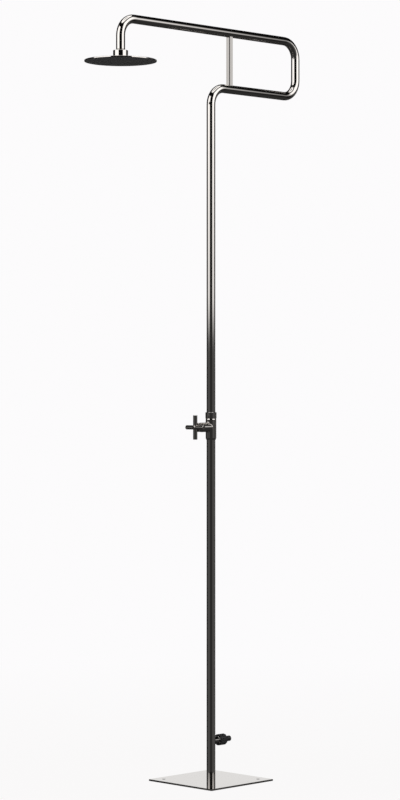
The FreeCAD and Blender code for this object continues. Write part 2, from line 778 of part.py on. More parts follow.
def head_shell():
    foot = dome_foot_diameter / 2
    top = dome_top_diameter / 2
    inside = head_sheet
    inner_wall = head_radius - head_rim_wall
    waterway = regulator_diameter / 2 + 0.1
    outside_foot = Vector(foot, 0, dome_foot_z)
    outside_top = Vector(top, 0, dome_top_z)
    inside_foot = outside_foot - Vector(inside, 0, inside)
    inside_top = outside_top - Vector(inside, 0, inside)
    round_foot = Vector(head_radius, 0, rim_top_z - head_rim_top_round)
    round_top = Vector(head_radius - head_rim_top_round, 0, rim_top_z)
    slack = head_rim_top_round * (1 - math.sqrt(0.5))
    round_middle = Vector(head_radius - slack, 0, rim_top_z - slack)
    outer_line = [Vector(inner_wall, 0, underside_z),
                  Vector(head_radius - head_rim_foot_break, 0, underside_z),
                  Vector(head_radius, 0, underside_z + head_rim_foot_break), round_foot]
    cup_line = [outside_top, Vector(cup_radius, 0, dome_top_z), Vector(cup_radius, 0, ball_z - cup_top),
                Vector(cup_bore, 0, ball_z - cup_top), Vector(cup_bore, 0, cup_floor_z),
                Vector(waterway, 0, cup_floor_z), Vector(waterway, 0, cup_floor_z - cup_floor),
                Vector(cup_radius, 0, cup_floor_z - cup_floor), Vector(cup_radius, 0, inside_top.z),
                inside_top]
    inner_line = [inside_foot, Vector(inner_wall, 0, rim_top_z - inside), outer_line[0]]
    edges = polyline(outer_line) + [Part.Arc(round_foot, round_middle, round_top).toShape()]
    edges += polyline([round_top, outside_foot])
    edges += dome_curve(outside_foot, outside_top) + polyline(cup_line)
    edges += dome_curve(inside_foot, inside_top) + polyline(inner_line)
    face = Part.Face(Part.Wire(Part.__sortEdges__(edges)))
    return placed(face.revolve(Vector(0, 0, 0), UP, 360), head_axis, UP)


def nozzle_places():
    """Rings of nozzles, each ring holding one step more than the last."""
    places = []
    for index in range(nozzle_rings):
        radius = nozzle_first_radius + index * nozzle_ring_pitch
        count = nozzles_per_ring_step * (index + 1)
        for k in range(count):
            angle = 2 * math.pi * k / count
            places.append(head_axis + Vector(radius * math.cos(angle), radius * math.sin(angle), 0))
    return places


def face_plate():
    hole = nozzle_root_diameter / 2 + nozzle_hole_clearance
    plate = rod(plate_radius, underside_z, plate_top_z, head_axis)
    holes = [rod(hole, underside_z - 1, plate_top_z + 1, spot) for spot in nozzle_places()]
    return plate.cut(Part.makeCompound(holes))


def nozzle_mat():
    root = nozzle_root_diameter / 2
    tip = nozzle_tip_diameter / 2
    low = underside_z - nozzle_length
    nozzles = [Part.makeCone(tip, root, plate_top_z - low + 0.1, spot + Vector(0, 0, low))
               for spot in nozzle_places()]
    bores = [rod(nozzle_bore_diameter / 2, low - 1, mat_top_z + 1, spot) for spot in nozzle_places()]
    sheet = rod(plate_radius - 1, plate_top_z, mat_top_z, head_axis)
    return sheet.fuse(nozzles).cut(Part.makeCompound(bores))


def flow_regulator():
    body = regulator_diameter / 2
    flange = regulator_flange_diameter / 2
    top = cup_floor_z + regulator_flange_thickness
    outline = [(0, cup_floor_z - regulator_length), (body, cup_floor_z - regulator_length),
               (body, cup_floor_z), (flange, cup_floor_z), (flange, top), (0, top)]
    disc = lathe(outline, head_axis)
    circle = body * regulator_hole_share
    for k in range(regulator_hole_count):
        angle = 2 * math.pi * k / regulator_hole_count
        spot = head_axis + Vector(circle * math.cos(angle), circle * math.sin(angle), 0)
        disc = disc.cut(rod(regulator_hole_diameter / 2, cup_floor_z - regulator_length - 1, top + 1, spot))
    return disc


nodes = [base_plate, foot_spigot, foot_seal, foot_grub_screw, lower_tube, upper_tube, brace,
         inlet_stub, adapter_washer, adapter_nut, adapter_nose, adapter_o_ring,
         valve_body, union_seal, union_nut,
         base_seal, fixed_disc, turning_disc, headwork_housing, valve_stem, stem_seals, stem_clip,
         handle_hub, handle_cross, handle_screw, handle_cap,
         arm_nipple, nipple_washer, swivel_ball, seat_ring, ball_nut,
         head_shell, face_plate, nozzle_mat, flow_regulator]

for make in nodes:
    save(make.__name__, make())
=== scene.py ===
import math

import bmesh
import bpy
from bpy.props import FloatProperty, FloatVectorProperty, IntProperty, PointerProperty
from bpy.types import Operator, Panel, PropertyGroup
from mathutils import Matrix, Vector


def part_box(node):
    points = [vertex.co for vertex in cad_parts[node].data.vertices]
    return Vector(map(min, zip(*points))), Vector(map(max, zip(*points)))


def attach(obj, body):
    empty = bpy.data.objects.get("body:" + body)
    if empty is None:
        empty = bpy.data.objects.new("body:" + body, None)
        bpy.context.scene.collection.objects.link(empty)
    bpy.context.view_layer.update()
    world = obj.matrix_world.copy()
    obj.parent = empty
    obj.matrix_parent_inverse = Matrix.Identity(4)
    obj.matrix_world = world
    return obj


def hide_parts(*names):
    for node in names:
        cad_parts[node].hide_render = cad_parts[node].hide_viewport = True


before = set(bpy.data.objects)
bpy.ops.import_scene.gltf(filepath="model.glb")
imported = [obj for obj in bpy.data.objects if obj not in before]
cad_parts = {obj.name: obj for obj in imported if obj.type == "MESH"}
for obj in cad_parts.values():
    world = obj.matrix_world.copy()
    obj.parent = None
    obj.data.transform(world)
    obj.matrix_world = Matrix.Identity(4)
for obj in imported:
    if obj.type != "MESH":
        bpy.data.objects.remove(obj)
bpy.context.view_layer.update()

bl_info = {
    "name": "Outdoor shower post",
    "version": (1, 0, 0),
    "blender": (4, 5, 0),
    "location": "3D View > Sidebar > Shower post",
    "description": "Finishes, small forms and studio for a polished outdoor shower post",
    "category": "Object",
}

# Metres throughout. The post stands on the Z axis, the head hangs at -Y and the hose inlet is at +Y.
MM = 0.001


# ---------------------------------------------------------------- values a user would change
def length(name, description, default):
    return FloatProperty(name=name, description=description, default=default, unit="LENGTH", precision=5)


def turn(name, description, degrees):
    return FloatProperty(name=name, description=description, default=math.radians(degrees), subtype="ANGLE")


def share(name, description, default):
    return FloatProperty(name=name, description=description, default=default, subtype="FACTOR")


def light(name, description, default):
    return FloatProperty(name=name, description=description, default=default)


def tone(name, description, default):
    return FloatVectorProperty(name=name, description=description, default=default, subtype="COLOR",
                               size=3, soft_min=0.0, soft_max=1.0)


class StageValues(PropertyGroup):
    camera_place: FloatVectorProperty(name="Camera place", description="Where the camera stands", size=3,
                                      default=(4.8845, -4.9710, 1.1243), subtype="TRANSLATION",
                                      unit="LENGTH")
    camera_turn: turn("Camera turn", "Turn of the level camera about the vertical", 44.754)
    focal_length: FloatProperty(name="Focal length", description="Lens on a 36 mm sensor", default=110.09,
                                unit="CAMERA")
    frame_rise: share("Frame rise", "Shift of the frame up the picture, as a share of its height", -0.01727)
    wall_distance: length("Wall distance", "Post axis to the curved light walls", 9.65)
    left_near_edge: turn("Left near edge", "Camera side edge of the left light wall", 30.0)
    right_near_edge: turn("Right near edge", "Camera side edge of the right light wall", 36.0)
    left_far_edge: turn("Left far edge", "Middle of the left wall's soft rear edge", 88.9)
    right_far_edge: turn("Right far edge", "Middle of the right wall's soft rear edge", 91.8)
    left_softness: turn("Left softness", "Angle over which the left wall's rear edge fades", 8.0)
    right_softness: turn("Right softness", "Angle over which the right wall's rear edge fades", 14.0)
    corner_turn: turn("Corner turn", "Direction of the glow in the room's right rear corner", 110.0)
    corner_width: turn("Corner width", "Half the angle of that glow", 17.5)
    corner_fade: turn("Corner fade", "Angle over which its sides fade", 5.0)
    wall_foot: length("Wall foot", "Lower edge of the light walls", -2.0)
    wall_top: length("Wall top", "Upper edge of the light walls", 11.4)
    wall_light: light("Wall light", "Brightness of the walls' upper part", 1.78)
    backdrop_half_width: turn("Backdrop half width", "Half the angle of the strip behind the post", 13.0)
    backdrop_low: length("Backdrop low", "Lower edge of the strip behind the post", 1.25)
    backdrop_high: length("Backdrop high", "Upper edge of the strip behind the post", 4.2)
    backdrop_light: light("Backdrop light", "Brightness of that strip", 0.95)
    top_height: length("Top height", "Round light overhead", 13.0)
    top_radius: length("Top radius", "Radius of the round light overhead", 5.85)
    top_light: light("Top light", "Brightness of the round light overhead", 1.8)
    top_middle: share("Top middle", "Share of that light left at its middle", 0.45)
    top_middle_radius: length("Top middle radius", "Radius at which the light is full again", 3.6)
    floor_radius: length("Floor radius", "Round floor paper", 3.4)
    paper_far: tone("Paper far", "Background seen by the camera", (0.973, 0.965, 0.973))
    # Painted shade: the glowing floor's colour round the post, darker than the background colour.
    paper_near_painted_shade: tone("Paper near", "Floor round the post", (0.956, 0.947, 0.947))
    room_low: light("Room low", "Unlit room below the horizon", 0.038)
    room_high: light("Room high", "Unlit room above the horizon", 0.006)
    room_corner: light("Room corner", "Low glow in the room's right rear corner", 0.13)


class FinishValues(PropertyGroup):
    steel: tone("Steel", "Reflection colour of polished stainless steel", (0.60, 0.572, 0.545))
    steel_polish: share("Steel polish", "Roughness of the mirror polish", 0.035)
    brass: tone("Brass", "Reflection colour of machined brass", (0.76, 0.55, 0.26))
    rubber: tone("Rubber", "Colour of the seals", (0.022, 0.022, 0.023))
    plastic: tone("Plastic", "Colour of the hose adapter", (0.012, 0.012, 0.013))
    silicone: tone("Silicone", "Colour of the nozzle mat", (0.075, 0.075, 0.078))
    ceramic: tone("Ceramic", "Colour of the tap's discs", (0.86, 0.84, 0.78))
    nylon: tone("Nylon", "Colour of the seat ring and regulator", (0.74, 0.73, 0.69))
    spring: tone("Spring steel", "Reflection colour of the stem clip", (0.33, 0.34, 0.36))


class InletValues(PropertyGroup):
    thread_pitch: length("Thread pitch", "Half-inch pipe thread", 1.814 * MM)
    thread_depth: length("Thread depth", "Crest to root", 1.1 * MM)
    thread_start: length("Thread start", "Post axis to the thread's run-out", 27.5 * MM)
    bore: length("Bore", "Water hole of the stub", 15.0 * MM)
    chamfer: length("Chamfer", "At the stub's end", 1.0 * MM)
    grip: length("Grip", "Length of the adapter nut's round part", 24.0 * MM)
    opening: length("Opening", "Hole in the adapter nut for the nose", 18.2 * MM)
    nose_flange: length("Nose flange", "Thickness of the nose's flange inside the nut", 3.0 * MM)
    rib_count: IntProperty(name="Ribs", description="Grip ribs round the adapter nut", default=12, min=3)
    rib_depth: length("Rib depth", "Rib crest to groove", 0.9 * MM)
    groove_width: length("Groove width", "Across one groove", 3.8 * MM)


class NozzleValues(PropertyGroup):
    rings: IntProperty(name="Rings", description="Circles of nozzles", default=7, min=1)
    first_ring: length("First ring", "Radius of the innermost circle", 15.0 * MM)
    ring_pitch: length("Ring pitch", "Between circles", 12.0 * MM)
    per_ring: IntProperty(name="Step", description="Nozzles that each circle adds", default=6, min=1)
    root: length("Root", "Nozzle diameter at the face plate", 3.2 * MM)
    tip: length("Tip", "Nozzle diameter at its end", 2.0 * MM)
    reach: length("Reach", "Nozzle below the face plate", 1.6 * MM)
    bore: length("Bore", "Water hole in each nozzle", 1.0 * MM)


class WeldValues(PropertyGroup):
    brace_leg: length("Brace leg", "Height of the ground fillets at the brace", 0.9 * MM)
    inlet_leg: length("Inlet leg", "Height of the ground fillet at the inlet", 1.1 * MM)
    brace_corner: length("Brace corner", "Flat ground along the square brace's corners", 1.7 * MM)


# ---------------------------------------------------------------- shader expressions
def feed(finish, socket, value):
    """Link a signal to a socket, or set the socket's own value."""
    if isinstance(value, Signal):
        finish.tree.links.new(value.socket, socket)
    elif socket.type == "RGBA":
        socket.default_value = (*value, 1.0)
    else:
        socket.default_value = value


class Signal:
    """The output of a node. Arithmetic on signals adds Math nodes to the same finish."""

    def __init__(self, finish, socket):
        self.finish = finish
        self.socket = socket

    def math(self, operation, *values):
        return self.finish.add("ShaderNodeMath", {"operation": operation}, dict(enumerate(values)))

    def __add__(self, other):
        return self.math("ADD", self, other)

    def __sub__(self, other):
        return self.math("SUBTRACT", self, other)

    def __mul__(self, other):
        return self.math("MULTIPLY", self, other)

    def __truediv__(self, other):
        return self.math("DIVIDE", self, other)

    def __rsub__(self, other):
        return self.math("SUBTRACT", other, self)

    def __abs__(self):
        return self.math("ABSOLUTE", self)

    def __gt__(self, other):
        return self.math("GREATER_THAN", self, other)

    __radd__ = __add__
    __rmul__ = __mul__


class Finish:
    """A material built from nodes."""

    def __init__(self, name, block=None):
        if block is None:
            block = bpy.data.materials.new(name)
        block.use_nodes = True
        self.block = block
        self.tree = block.node_tree
        self.tree.nodes.clear()

    def add(self, kind, settings=None, inputs=None, output=0):
        """Add a node: its settings first, then the values or links of its sockets.

        Returns one output, or all of them where output is None.
        """
        node = self.tree.nodes.new(kind)
        for name, value in (settings or {}).items():
            if name == "stops":
                self.set_stops(node.color_ramp.elements, value)
            else:
                setattr(node, name, value)
        for name, value in (inputs or {}).items():
            feed(self, node.inputs[name], value)
        if output is None:
            return [Signal(self, socket) for socket in node.outputs]
        return Signal(self, node.outputs[output])

    @staticmethod
    def set_stops(elements, stops):
        while len(elements) < len(stops):
            elements.new(1.0)
        for element, (position, level) in zip(elements, stops):
            element.position = position
            element.color = (level, level, level, 1.0)

    def place(self, stretch=(1.0, 1.0, 1.0)):
        """Place on the piece in metres, stretched for grain that runs one way."""
        where = self.add("ShaderNodeTexCoord", output="Object")
        return self.add("ShaderNodeVectorMath", {"operation": "MULTIPLY"}, {0: where, 1: stretch})

    def split(self, vector):
        """The x, y and z signals of a vector."""
        return self.add("ShaderNodeSeparateXYZ", None, {0: vector}, output=None)

    def reach(self):
        """Distance from the post's axis."""
        where = self.place((1.0, 1.0, 0.0))
        return self.add("ShaderNodeVectorMath", {"operation": "LENGTH"}, {0: where}, output="Value")

    def noise(self, where, scale, detail=2.0, roughness=0.5):
        return self.add("ShaderNodeTexNoise", None,
                        {"Vector": where, "Scale": scale, "Detail": detail, "Roughness": roughness})

    def clip(self, value):
        return self.add("ShaderNodeClamp", None, {"Value": value})

    def mixed(self, factor, first, second):
        """First colour where the factor is 0, second where it is 1."""
        return self.add("ShaderNodeMix", {"data_type": "RGBA"}, {0: factor, 6: first, 7: second}, output=2)

    def bump(self, height, distance, strength=1.0):
        return self.add("ShaderNodeBump", None,
                        {"Strength": strength, "Distance": distance, "Height": height})

    def blend(self, factor, first, second):
        """First shader where the factor is 0, second where it is 1."""
        return self.add("ShaderNodeMixShader", None, {0: factor, 1: first, 2: second})

    def glow(self, colour, strength=1.0):
        return self.add("ShaderNodeEmission", None, {"Color": colour, "Strength": strength})

    def close(self, shader, kind="ShaderNodeOutputMaterial"):
        self.add(kind, None, {"Surface": shader}, output=None)
        return self.block

    def surface(self, **sockets):
        """Close the finish with the usual surface shader; underscores stand for spaces."""
        inputs = {name.replace("_", " "): value for name, value in sockets.items()}
        return self.close(self.add("ShaderNodeBsdfPrincipled", None, inputs))


def shade(colour, factor):
    return tuple(channel * factor for channel in colour)


def made_once(builder):
    """Each finish is made when it is first asked for and shared after that."""
    kept = {}

    def fetch():
        if "block" not in kept:
            kept["block"] = builder(bpy.context.scene.post_finish)
        return kept["block"]
    return fetch


# ---------------------------------------------------------------- finishes
def water_marks(finish, where, scale, rarity):
    """Thin rings left by dried drops on a few of the cells."""
    ring_radius, ring_sharpness = 0.24, 22
    settings = {"feature": "F1"}
    inputs = {"Vector": where, "Scale": scale}
    distance = finish.add("ShaderNodeTexVoronoi", settings, inputs)
    cell = finish.add("ShaderNodeTexVoronoi", settings, inputs, output="Color")
    chosen = finish.add("ShaderNodeSeparateColor", None, {"Color": cell}) > rarity
    ring = finish.clip(1 - abs(distance - ring_radius) * ring_sharpness)
    return ring * chosen


@made_once
def mirror_steel(look):
    finish = Finish("mirror_polished_steel")
    where = finish.place()
    cloud = finish.noise(where, 7.0, 3.0)
    haze = finish.noise(where, 55.0, 4.0, 0.6)
    scuffs = finish.noise(finish.place((900.0, 60.0, 60.0)), 1.0, 2.0)
    marks = water_marks(finish, where, 62.0, 0.82)
    base = finish.mixed(cloud, shade(look.steel, 0.985), shade(look.steel, 1.015))
    rough = look.steel_polish * 0.5 + haze * look.steel_polish + scuffs * 0.008 + marks * 0.03
    ripple = finish.noise(where, 30.0, 1.0) + scuffs * 0.02
    return finish.surface(Base_Color=base, Metallic=1.0, Roughness=rough,
                          Normal=finish.bump(ripple, 0.00002, 0.5))


@made_once
def weld_steel(look):
    """Weld ground flush and polished, a little duller than the tubes."""
    finish = Finish("ground_weld_steel")
    where = finish.place()
    grind = finish.noise(finish.place((1600.0, 1600.0, 300.0)), 1.0, 2.0)
    cloud = finish.noise(where, 90.0, 2.0)
    base = finish.mixed(cloud, shade(look.steel, 0.9), look.steel)
    return finish.surface(Base_Color=base, Metallic=1.0, Roughness=0.10 + grind * 0.10,
                          Normal=finish.bump(grind, 0.00003, 0.5))


@made_once
def turned_steel(look):
    """Hidden steel parts straight from the lathe."""
    finish = Finish("turned_steel")
    lines = finish.noise(finish.place((80.0, 2600.0, 2600.0)), 1.0, 2.0)
    stain = finish.noise(finish.place(), 120.0, 3.0)
    base = finish.mixed(stain, shade(look.steel, 0.82), shade(look.steel, 0.96))
    return finish.surface(Base_Color=base, Metallic=1.0, Roughness=0.22 + lines * 0.14,
                          Normal=finish.bump(lines, 0.00002, 0.6))


@made_once
def machined_brass(look):
    finish = Finish("machined_brass")
    lines = finish.noise(finish.place((60.0, 3200.0, 60.0)), 1.0, 2.0)
    tarnish = finish.noise(finish.place(), 160.0, 4.0, 0.6)
    base = finish.mixed(tarnish, shade(look.brass, 0.72), look.brass)
    return finish.surface(Base_Color=base, Metallic=1.0, Roughness=0.2 + lines * 0.1 + tarnish * 0.12,
                          Normal=finish.bump(lines, 0.00002, 0.6))


@made_once
def oiled_spring_steel(look):
    finish = Finish("oiled_spring_steel")
    oil = finish.noise(finish.place(), 420.0, 3.0)
    base = finish.mixed(oil, shade(look.spring, 0.7), look.spring)
    return finish.surface(Base_Color=base, Metallic=1.0, Roughness=0.22 + oil * 0.2, Coat_Weight=oil * 0.5)


@made_once
def moulded_rubber(look):
    finish = Finish("moulded_black_rubber")
    bloom = finish.noise(finish.place(), 260.0, 4.0, 0.6)
    skin = finish.noise(finish.place(), 2400.0, 2.0)
    base = finish.mixed(bloom, look.rubber, shade(look.rubber, 1.9))
    return finish.surface(Base_Color=base, Roughness=0.5 + bloom * 0.25,
                          Normal=finish.bump(skin, 0.00003, 0.5))


@made_once
def moulded_plastic(look):
    """Black nylon with a spark-eroded mould grain, worn a little smoother on its crests."""
    finish = Finish("moulded_black_plastic")
    where = finish.place()
    grain = finish.noise(where, 3600.0, 2.0, 0.6)
    flow = finish.noise(where, 150.0, 3.0)
    flat, sharpness = 0.52, 14
    crest = finish.add("ShaderNodeNewGeometry", output="Pointiness")
    worn = finish.clip((crest - flat) * sharpness)
    base = finish.mixed(finish.clip(flow * 0.6 + worn * 0.5), look.plastic, shade(look.plastic, 2.4))
    rough = 0.34 + flow * 0.14 + grain * 0.06 - worn * 0.08
    return finish.surface(Base_Color=base, Roughness=rough, Normal=finish.bump(grain, 0.00004, 0.5))


@made_once
def moulded_silicone(look):
    finish = Finish("moulded_grey_silicone")
    bloom = finish.noise(finish.place(), 90.0, 4.0, 0.6)
    skin = finish.noise(finish.place(), 2600.0, 2.0)
    base = finish.mixed(bloom, shade(look.silicone, 0.75), shade(look.silicone, 1.25))
    return finish.surface(Base_Color=base, Roughness=0.48 + bloom * 0.2,
                          Normal=finish.bump(skin, 0.00002, 0.5))


@made_once
def lapped_ceramic(look):
    finish = Finish("lapped_ceramic")
    rarity, sharpness = 0.68, 9
    lap = finish.noise(finish.place(), 900.0, 3.0)
    speck = finish.clip((finish.noise(finish.place(), 1800.0, 1.0) - rarity) * sharpness)
    base = finish.mixed(speck, look.ceramic, shade(look.ceramic, 0.8))
    return finish.surface(Base_Color=base, Roughness=0.16 + lap * 0.1)


@made_once
def moulded_nylon(look):
    finish = Finish("moulded_nylon")
    flow = finish.noise(finish.place(), 130.0, 3.0)
    skin = finish.noise(finish.place(), 2200.0, 2.0)
    base = finish.mixed(flow, shade(look.nylon, 0.92), look.nylon)
    return finish.surface(Base_Color=base, Roughness=0.38 + flow * 0.14,
                          Normal=finish.bump(skin, 0.00002, 0.5))


def dress(finish, *nodes):
    """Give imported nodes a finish; their shapes stay as they are."""
    for name in nodes:
        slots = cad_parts[name].data.materials
        slots.clear()
        slots.append(finish())


# ---------------------------------------------------------------- mesh helpers
def piece(name, body, slot, finish, points, faces, crease=35.0):
    """A new piece whose points are in the shared frame, smooth but for its creases."""
    mesh = bpy.data.meshes.new(name)
    mesh.from_pydata(points, [], faces)
    form = bmesh.new()
    form.from_mesh(mesh)
    bmesh.ops.recalc_face_normals(form, faces=form.faces)
    form.to_mesh(mesh)
    form.free()
    mesh.shade_smooth()
    mesh.set_sharp_from_angle(angle=math.radians(crease))
    mesh.materials.append(finish())
    made = bpy.data.objects.new(name, mesh)
    bpy.context.scene.collection.objects.link(made)
    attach(made, body)
    return made


def joined(rings, offset=0, closed=True):
    """Quads between neighbouring rings of equal length; open stacks get end caps."""
    count = len(rings[0])
    pairs = list(zip(range(len(rings)), range(1, len(rings))))
    if closed:
        pairs.append((len(rings) - 1, 0))
    faces = []
    for low, high in pairs:
        for k in range(count):
            after = (k + 1) % count
            faces.append((offset + low * count + k, offset + low * count + after,
                          offset + high * count + after, offset + high * count + k))
    if not closed:
        faces.append(tuple(offset + k for k in range(count)))
        faces.append(tuple(offset + (len(rings) - 1) * count + k for k in range(count)))
    return [point for ring in rings for point in ring], faces


def smooth_step(low, high, value):
    t = min(1.0, max(0.0, (value - low) / (high - low)))
    return t * t * (3 - 2 * t)


def angles(count):
    return [2 * math.pi * k / count for k in range(count)]


def level_ring(x, y, z, radius, sides):
    return [(x + radius * math.cos(a), y + radius * math.sin(a), z) for a in angles(sides)]


def round_inlet(height, radius, along, angle):
    """Point round the level inlet, whose axis runs along Y at that height."""
    return radius * math.cos(angle), along, height + radius * math.sin(angle)


def middle_and_radius(node):
    """Height of the axis and the radius of a round node that lies along Y."""
    low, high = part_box(node)
    return (low.z + high.z) / 2, (high.x - low.x) / 2


# ---------------------------------------------------------------- welds
def round_rim(radius, sides=96):
    """Places round a tube's outside, each with its outward direction."""
    directions = [Vector((math.cos(a), math.sin(a), 0.0)) for a in angles(sides)]
    return [(out * radius, out) for out in directions]


def square_rim(half, corner, side=10):
    """Places round a square tube with broken corners, each with its outward direction."""
    flat = half - corner
    rim = []
    for start in angles(4):
        middle = start + math.pi / 4
        centre = Vector((math.copysign(flat, math.cos(middle)), math.copysign(flat, math.sin(middle)), 0.0))
        for angle in (start, start + math.pi / 2):
            out = Vector((math.cos(angle), math.sin(angle), 0.0))
            rim.append((centre + out * corner, out))
        place, out = rim[-1]
        along = Vector((-out.y, out.x, 0.0))
        rim += [(place + along * (2 * flat * k / side), out) for k in range(1, side)]
    return rim


def saddle_fillet(outer, rim, run_radius, leg, steps=5):
    """Concave fillet where a tube on the local Z axis stands on a run along the local Y axis.

    outer(x, y, z) turns local places into the shared frame.
    """
    sunk, buried = 0.1 * MM, 0.4 * MM
    rings = []
    for place, out in rim:
        seam = math.sqrt(run_radius ** 2 - place.x ** 2)
        reached = place + out * leg
        far_seam = math.sqrt(max(run_radius ** 2 - reached.x ** 2, 0.0))
        inner = place - out * sunk
        top = Vector((inner.x, inner.y, seam + leg))
        foot = Vector((reached.x, reached.y, far_seam - sunk))
        heel = Vector((place.x, place.y, seam))
        deep = Vector((inner.x, inner.y, seam - buried))
        line = [top * (1 - t) ** 2 + heel * (2 * t * (1 - t)) + foot * t ** 2
                for t in (k / steps for k in range(steps + 1))]
        rings.append([outer(*point) for point in line + [deep]])
    return joined(rings)


def weld_fillets():
    """Ground fillets at the brace's two ends and at the inlet's root."""
    values = bpy.context.scene.post_welds
    brace_low, brace_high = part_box("brace")
    tube_low, tube_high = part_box("lower_tube")
    half = (brace_high.x - brace_low.x) / 2
    run_radius = (tube_high.x - tube_low.x) / 2
    brace_y = (brace_low.y + brace_high.y) / 2
    top_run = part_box("upper_tube")[1].z - run_radius
    low_run = brace_low.z - math.sqrt(run_radius ** 2 - half ** 2)
    places = [("brace_weld_low", lambda x, y, z: (x, brace_y + y, low_run + z)),
              ("brace_weld_top", lambda x, y, z: (x, brace_y + y, top_run - z))]
    for name, outer in places:
        piece(name, "stand", "polished_steel", weld_steel,
              *saddle_fillet(outer, square_rim(half, values.brace_corner), run_radius, values.brace_leg))
    height, stub_radius = middle_and_radius("inlet_stub")
    piece("inlet_weld", "stand", "polished_steel", weld_steel,
          *saddle_fillet(lambda x, y, z: (x, z, height + y), round_rim(stub_radius), run_radius,
                         values.inlet_leg))


# ---------------------------------------------------------------- inlet
def inside_post(post_radius, radius, angle):
    """Place along the inlet axis where a round form has just entered the post."""
    sunk = 0.3 * MM
    return math.sqrt(post_radius ** 2 - (radius * math.cos(angle)) ** 2) - sunk


def thread_radius(values, radius, end, along, angle):
    """Pipe thread with broad crests, a run-out at its start and a chamfer at its end."""
    pitch, depth = values.thread_pitch, values.thread_depth
    breadth, lead_share = 0.8, 1.6
    phase = along / pitch - angle / (2 * math.pi)
    crest = min(1.0, max(0.0, 0.5 + breadth * math.cos(2 * math.pi * phase)))
    cut = depth * smooth_step(values.thread_start - pitch, values.thread_start + pitch, along)
    lead = depth * smooth_step(end - lead_share * values.chamfer, end, along)
    return radius - max(cut * (1 - crest), lead)


def threaded_stub():
    """Steel stub out of the post: a plain neck, the pipe thread, and the bore back into the post."""
    values = bpy.context.scene.post_inlet
    height, radius = middle_and_radius("inlet_stub")
    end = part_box("inlet_stub")[1].y
    post_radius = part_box("lower_tube")[1].x
    bore = values.bore / 2
    sides, neck_steps, steps_a_turn, face_share = 112, 6, 12, 0.2
    first = values.thread_start - values.thread_pitch
    last = end - values.chamfer * face_share
    turns = (end - values.thread_start) / values.thread_pitch
    thread_steps = int(turns * steps_a_turn)
    rings = []
    for k in range(neck_steps + thread_steps + 1):
        ring = []
        for angle in angles(sides):
            if k < neck_steps:
                root = inside_post(post_radius, radius, angle)
                along = root + (first - root) * k / neck_steps
            else:
                along = first + (last - first) * (k - neck_steps) / thread_steps
            here = thread_radius(values, radius, end, along, angle)
            ring.append(round_inlet(height, here, along, angle))
        rings.append(ring)
    rings.append([round_inlet(height, bore, end, angle) for angle in angles(sides)])
    rings.append([round_inlet(height, bore, inside_post(post_radius, bore, angle), angle)
                  for angle in angles(sides)])
    made = piece("inlet_threaded_stub", "stand", "polished_steel", mirror_steel, *joined(rings))
    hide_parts("inlet_stub")


def nut_outside(radius, back, shoulder, front, cone_end):
    """(radius, place) from the rounded back edge over the grip and shoulder to the end of the cone."""
    near, far, full = 0.12 * MM, 0.45 * MM, 1.0 * MM
    round_start, round_middle, past = 1.2 * MM, 0.4 * MM, 0.3 * MM
    lip_length, lip_width = 0.1 * MM, 0.4 * MM
    cone_steps = 7
    fine_rows = [(1.4 + 0.3 * k) * MM for k in range(8)]
    wide_rows = [(4.5 + 2.0 * k) * MM for k in range(9)]
    outline = [(radius - full, back), (radius - far, back + near),
               (radius - near, back + far), (radius, back + full)]
    outline += [(radius, back + row) for row in fine_rows + wide_rows]
    outline += [(radius, shoulder - round_start), (radius - near, shoulder - round_middle),
                (radius - far, shoulder + past)]
    for k in range(1, cone_steps):
        t = k / cone_steps
        outline.append((radius - far + (cone_end + past - radius) * t,
                        shoulder + past + (front - past - shoulder) * t))
    return outline + [(cone_end, front - lip_length), (cone_end - lip_width, front)]


def groove_share(values, radius, angle):
    """0 on the crest of a grip rib, 1 in the middle of the groove beside it."""
    turned = (angle * values.rib_count / (2 * math.pi) + 0.5) % 1 - 0.5
    from_groove = (0.5 - abs(turned)) * 2 * math.pi * radius / values.rib_count
    return 0.5 + 0.5 * math.cos(math.pi * min(1.0, from_groove / (values.groove_width / 2)))


def ribbed_nut():
    """Black grip nut: rounded grooves between broad ribs that fade out on the front cone."""
    values = bpy.context.scene.post_inlet
    sides, clearance, cone_lip = 240, 0.1 * MM, 2.0 * MM
    rib_start, rib_full = 1.3 * MM, 3.2 * MM
    height, radius = middle_and_radius("adapter_nut")
    back, front = [corner.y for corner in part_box("adapter_nut")]
    shoulder = back + values.grip
    opening = values.opening / 2
    thread = middle_and_radius("inlet_stub")[1] + clearance
    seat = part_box("adapter_washer")[1].y + values.nose_flange
    grooves = [(angle, groove_share(values, radius, angle)) for angle in angles(sides)]
    rings = []
    for outer, along in nut_outside(radius, back, shoulder, front, opening + cone_lip):
        fade = smooth_step(back + rib_start, back + rib_full, along)
        fade *= 1 - smooth_step(shoulder, front, along)
        cut = values.rib_depth * fade
        rings.append([round_inlet(height, outer - cut * groove, along, angle) for angle, groove in grooves])
    for inner, along in [(opening, front), (opening, seat), (thread, seat), (thread, back)]:
        rings.append([round_inlet(height, inner, along, angle) for angle in angles(sides)])
    made = piece("adapter_grip_nut", "stand", "black_plastic", moulded_plastic, *joined(rings))
    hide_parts("adapter_nut")


# ---------------------------------------------------------------- head
def nozzle_outline(values, face, sheet_low):
    """(radius, height) of one nozzle from inside the mat, round its tip and up its bore."""
    flare, sunk, neck, bore_depth = 0.25 * MM, 0.3 * MM, 0.35 * MM, 1.8 * MM
    slimness = 0.8
    root, tip, bore = values.root / 2, values.tip / 2, values.bore / 2
    low = face - values.reach
    lip = (tip - bore) / 2
    start = sheet_low - neck
    outline = [(root + flare, sheet_low + sunk), (root, start)]
    outline += [(tip + (root - tip) * (1 - t) * slimness, start + (low + lip - start) * t)
                for t in (0.35, 0.7, 1.0)]
    outline += [(tip - lip * (1 - math.cos(a)), low + lip * (1 - math.sin(a)))
                for a in (math.radians(d) for d in (35, 65, 90, 130, 165))]
    return outline + [(bore, low + lip), (bore, low + bore_depth)]


